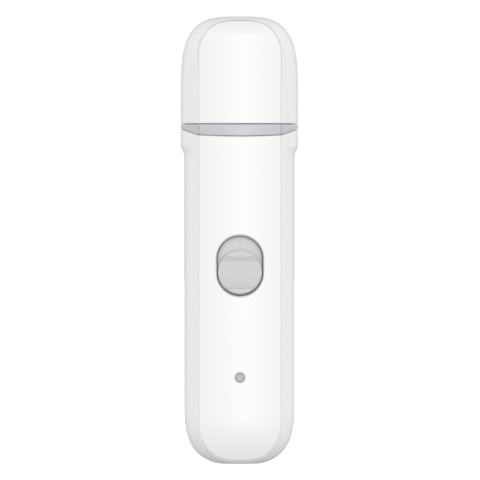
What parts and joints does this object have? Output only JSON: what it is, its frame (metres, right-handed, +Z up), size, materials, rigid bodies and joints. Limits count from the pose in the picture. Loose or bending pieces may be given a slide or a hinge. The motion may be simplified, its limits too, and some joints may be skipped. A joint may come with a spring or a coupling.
{
  "type": "pet nail grinder",
  "caption": "Cordless pet nail grinder: rounded handle with a slide switch, see-through dust guard with a nail port over a grinding drum, pull-off cap.",
  "frame": {"origin": "middle of the small flat on the bottom end that the grinder stands on", "axes": "+Z up along the handle towards the cap, -Y out of the face with the switch, +X to the right seen from the front"},
  "size_m": [0.0388, 0.03, 0.148],
  "materials": {
    "casing_white": "satin",
    "switch_grey": "satin",
    "well_grey": "satin",
    "guard_smoke": "gloss",
    "deck_plastic": "satin",
    "black_plastic": "matte",
    "indicator_ring": "satin",
    "light_guide": "gloss",
    "led_body": "gloss",
    "circuit_board": "satin",
    "screw_steel": "satin",
    "motor_steel": "satin",
    "socket_steel": "satin",
    "bush_bronze": "satin",
    "winding_copper": "satin",
    "ferrite": "matte",
    "rubber_black": "matte",
    "foam_grey": "matte",
    "cell_sleeve": "satin",
    "wire_red": "satin",
    "wire_black": "satin",
    "hub_aluminium": "satin",
    "diamond_grit": "matte"
  },
  "bodies": {
    "handle": {"front_shell": "casing_white", "rear_shell": "casing_white", "switch_well": "well_grey", "deck_plate": "deck_plastic", "switch_case": "black_plastic", "motor_end_cap": "black_plastic", "battery_saddle_lower": "black_plastic", "battery_saddle_upper": "black_plastic", "controller_chip": "black_plastic", "charge_chip": "black_plastic", "charge_tongue": "black_plastic", "power_inductor": "black_plastic", "indicator_bezel": "indicator_ring", "indicator_lens": "light_guide", "lamp_lens": "light_guide", "status_led": "led_body", "lamp_led": "led_body", "main_board": "circuit_board", "charge_board": "circuit_board", "board_screws": "screw_steel", "casing_screws": "screw_steel", "motor_screws": "screw_steel", "motor_can": "motor_steel", "charge_socket": "socket_steel", "battery_tabs": "socket_steel", "motor_bush_rear": "bush_bronze", "motor_bush_front": "bush_bronze", "motor_terminals": "bush_bronze", "motor_magnets": "ferrite", "motor_brushes": "ferrite", "motor_ring_lower": "rubber_black", "motor_ring_upper": "rubber_black", "shaft_seal": "rubber_black", "switch_seal": "rubber_black", "battery_pad": "foam_grey", "battery_cell": "cell_sleeve", "motor_leads": "wire_red", "battery_lead": "wire_red", "charge_leads": "wire_black"},
    "guard": {"guard_collar": "guard_smoke", "guard_nose": "guard_smoke"},
    "cap": {"cap_shell": "casing_white"},
    "spindle": {"motor_shaft": "motor_steel", "rotor_core": "motor_steel", "rotor_coils": "winding_copper", "commutator": "bush_bronze", "drum_hub": "hub_aluminium", "abrasive_sleeve": "diamond_grit", "drum_screw": "screw_steel"},
    "switch": {"slide_button": "switch_grey", "slide_carriage": "black_plastic", "switch_lever": "black_plastic"}
  },
  "joints": [
    {"name": "guard_pull", "type": "slide", "parent": "handle", "child": "guard", "axis": [0, 0, 1], "range_m": [0, 0.045]},
    {"name": "cap_pull", "type": "slide", "parent": "guard", "child": "cap", "axis": [0, 0, 1], "range_m": [0, 0.05]},
    {"name": "spindle_spin", "type": "hinge", "parent": "handle", "child": "spindle", "pos_m": [0, 0, 0.1], "axis": [0, 0, 1], "continuous": true},
    {"name": "switch_slide", "type": "slide", "parent": "handle", "child": "switch", "axis": [0, 0, 1], "range_m": [0, 0.00415]}
  ]
}
